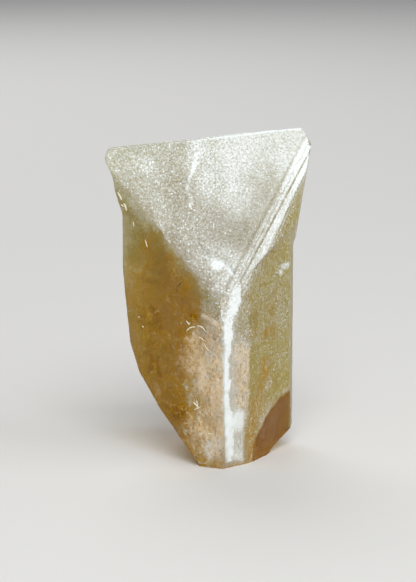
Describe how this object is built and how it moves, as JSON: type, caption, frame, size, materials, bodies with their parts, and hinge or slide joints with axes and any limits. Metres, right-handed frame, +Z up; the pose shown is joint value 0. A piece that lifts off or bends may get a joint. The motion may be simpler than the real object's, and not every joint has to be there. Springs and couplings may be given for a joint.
{
  "type": "danburite crystal",
  "caption": "Single honey-coloured danburite crystal, a stout prism with a frosted wedge-shaped head, standing on its broken foot.",
  "frame": {"origin": "middle of the crystal's bounding box, at the flat broken foot that it stands on", "axes": "+Z up along the prism; -Y is the front, where the sharp frosted prism edge stands; +X is to its right"},
  "size_m": [0.0316, 0.0228, 0.05],
  "materials": {
    "danburite": "clear honey-yellow crystal with a vitreous to finely frosted surface; the head's faces and the front edge are frosted white"
  },
  "bodies": {
    "root": {"danburite_crystal": "danburite"}
  },
  "joints": []
}
